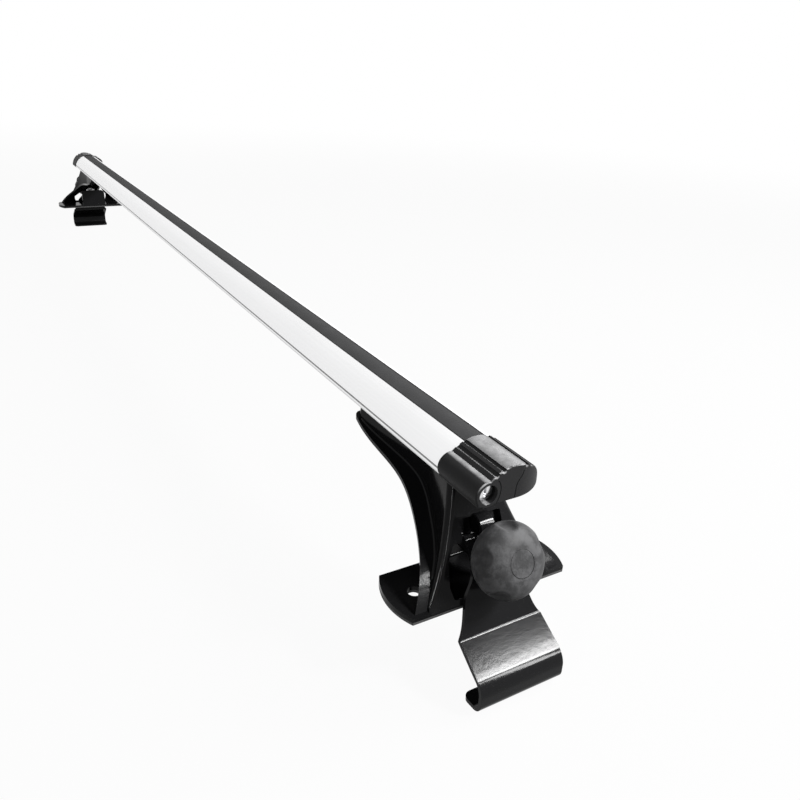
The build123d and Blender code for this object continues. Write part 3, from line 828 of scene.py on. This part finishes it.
class CROSSBAR_OT_threads(bpy.types.Operator):
    """Cut the threads on the free ends of the slot bolts"""

    bl_idname = "crossbar.threads"
    bl_label = "Bolt Threads"

    def execute(self, context):
        settings = context.scene.crossbar_foot
        zinc = zinc_steel()
        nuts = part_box("slot_nuts_right")
        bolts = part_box("slot_bolts_right")
        top, length = nuts[0].z / MM, (nuts[0].z - bolts[0].z) / MM - BOLT_END
        for side in SIDES:
            for name, place in SLOT_BOLTS.items():
                points = on_side(thread_points(settings, FOOT_X + place, top, length), side)
                piece = add_surface(f"thread_{name}_{side}", points, zinc)
                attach(piece, f"foot_{side}")
        return {"FINISHED"}


class CROSSBAR_OT_knobs(bpy.types.Operator):
    """Shape the hand knobs and finish their discs and nuts"""

    bl_idname = "crossbar.knobs"
    bl_label = "Hand Knobs"

    def execute(self, context):
        settings = context.scene.crossbar_knob
        plastic = knob_plastic("knob plastic", settings)
        disc = knob_plastic("knob disc plastic", settings)
        zinc = zinc_steel()
        for side in SIDES:
            points = on_side(knob_points(settings), side)
            piece = add_surface(f"knob_shell_{side}", points, plastic)
            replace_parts(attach(piece, f"knob_{side}"), f"knob_{side}")
            paint_node(f"knob_cap_{side}", disc)
            paint_node(f"knob_nut_{side}", zinc)
        return {"FINISHED"}


class CROSSBAR_OT_stage(bpy.types.Operator):
    """Lay the floor, hang the soft lamps and set the camera"""

    bl_idname = "crossbar.stage"
    bl_label = "Studio"

    def execute(self, context):
        settings = context.scene.crossbar_studio
        scene = context.scene
        scene.view_settings.view_transform = "Standard"
        self.floor()
        self.world(scene, settings)
        self.lamps(settings)
        self.camera(scene, settings)
        return {"FINISHED"}

    def floor(self):
        """Wide pale floor just under the lowest point of the object."""
        half, level = 9.0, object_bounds()[0][2] - 0.0005
        mesh = bpy.data.meshes.new("floor")
        corners = [(x * half, y * half, level) for x, y in ((-1, -1), (1, -1), (1, 1), (-1, 1))]
        mesh.from_pydata(corners, [], [(0, 1, 2, 3)])
        finish = Finish("pale floor")
        inputs = {0: finish.place}
        away = finish.node("ShaderNodeVectorMath", inputs, output="Value", operation="LENGTH")
        plain = finish.node("ShaderNodeBsdfDiffuse", {"Color": (0.22, 0.22, 0.22, 1)})
        white = finish.node("ShaderNodeEmission", {"Color": (1, 1, 1, 1), "Strength": 1.0})
        share = 0.95 + 0.05 * finish.step(away, 0.9, 3.0)
        mesh.materials.append(finish.close(finish.white_where_seen(plain, white, share)))
        floor = add_object("floor", mesh)
        floor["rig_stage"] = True

    def world(self, scene, settings):
        """Even room light; white where it is looked at."""
        finish = Finish("studio", world=True)
        plain, white = (
            finish.node("ShaderNodeBackground", {"Color": (1, 1, 1, 1), "Strength": strength})
            for strength in (settings.world_light, 1.0)
        )
        seen = finish.white_where_seen(plain, white, 1.0)
        scene.world = finish.close(seen, "ShaderNodeOutputWorld")

    def lamps(self, settings):
        """Soft lamps at their places, each turned by its degrees about its own beam."""
        aim = Vector((0.6, 0.0, 0.02))
        for name, place, size, turn, share in (
            ("key", (1.68, 0.80, 0.78), (0.15, 0.45), 0, 1.0),
            ("top", (0.45, 0.35, 1.7), (1.3, 0.7), 0, 0.2),
            ("left", (0.925, -1.32, 0.93), (0.14, 0.20), 0, 0.36),
            ("front", (1.66, -0.90, 0.80), (0.04, 0.2), 0, 0.12),
            ("fill", (1.202, 0.620, 0.857), (0.22, 0.22), -38.6, 1.5),
            ("side", (0.70, 1.12, 1.02), (0.5, 0.5), 0, 1.9),
        ):
            lamp = bpy.data.lights.new(name, "AREA")
            lamp.shape = "RECTANGLE"
            lamp.size, lamp.size_y = size
            lamp.energy = settings.key_light * share
            holder = add_object(name, lamp)
            holder.location = place
            facing = (aim - Vector(place)).to_track_quat("-Z", "Y").to_matrix()
            about_beam = Matrix.Rotation(math.radians(turn), 3, "Z")
            holder.rotation_euler = (facing @ about_beam).to_euler()

    def camera(self, scene, settings):
        """Camera from its heading, tilt and roll: columns are right, up and back."""
        level, down = math.cos(settings.tilt), math.sin(settings.tilt)
        east, north = math.cos(settings.heading), math.sin(settings.heading)
        ahead = Vector((level * east, level * north, -down))
        right = ahead.cross(Vector((0, 0, 1))).normalized()
        up = right.cross(ahead)
        turned_right = right * math.cos(settings.roll) + up * math.sin(settings.roll)
        turned_up = up * math.cos(settings.roll) - right * math.sin(settings.roll)
        data = bpy.data.cameras.new("camera")
        data.sensor_width = 36.0
        data.lens = settings.lens
        data.clip_start = 0.01
        camera = add_object("camera", data)
        axes = Matrix((turned_right, turned_up, -ahead)).transposed().to_4x4()
        camera.matrix_world = Matrix.Translation(settings.position) @ axes
        scene.camera = camera


class CROSSBAR_PT_panel(bpy.types.Panel):
    """Lists the crossbar's steps in the sidebar."""

    bl_idname = "CROSSBAR_PT_panel"
    bl_label = "Crossbar"
    bl_space_type = "VIEW_3D"
    bl_region_type = "UI"
    bl_category = "Crossbar"

    def draw(self, context):
        for operator in OPERATORS:
            self.layout.operator(operator.bl_idname)


OPERATORS = (
    CROSSBAR_OT_bar,
    CROSSBAR_OT_feet,
    CROSSBAR_OT_threads,
    CROSSBAR_OT_knobs,
    CROSSBAR_OT_stage,
)
SETTINGS = {
    "crossbar_bar": CrossbarBarSettings,
    "crossbar_foot": CrossbarFootSettings,
    "crossbar_knob": CrossbarKnobSettings,
    "crossbar_studio": CrossbarStudioSettings,
}


def register():
    """Put the settings on the scene, then make the operators and the panel known."""
    for name, group in SETTINGS.items():
        bpy.utils.register_class(group)
        setattr(bpy.types.Scene, name, bpy.props.PointerProperty(type=group))
    for cls in (*OPERATORS, CROSSBAR_PT_panel):
        bpy.utils.register_class(cls)


def unregister():
    """Undo register, last part first."""
    for cls in (CROSSBAR_PT_panel, *reversed(OPERATORS)):
        bpy.utils.unregister_class(cls)
    for name, group in SETTINGS.items():
        delattr(bpy.types.Scene, name)
        bpy.utils.unregister_class(group)


def main():
    """Run every operator in its order."""
    register()
    for operator in OPERATORS:
        group, name = operator.bl_idname.split(".")
        getattr(getattr(bpy.ops, group), name)()


if __name__ == "__main__":
    main()
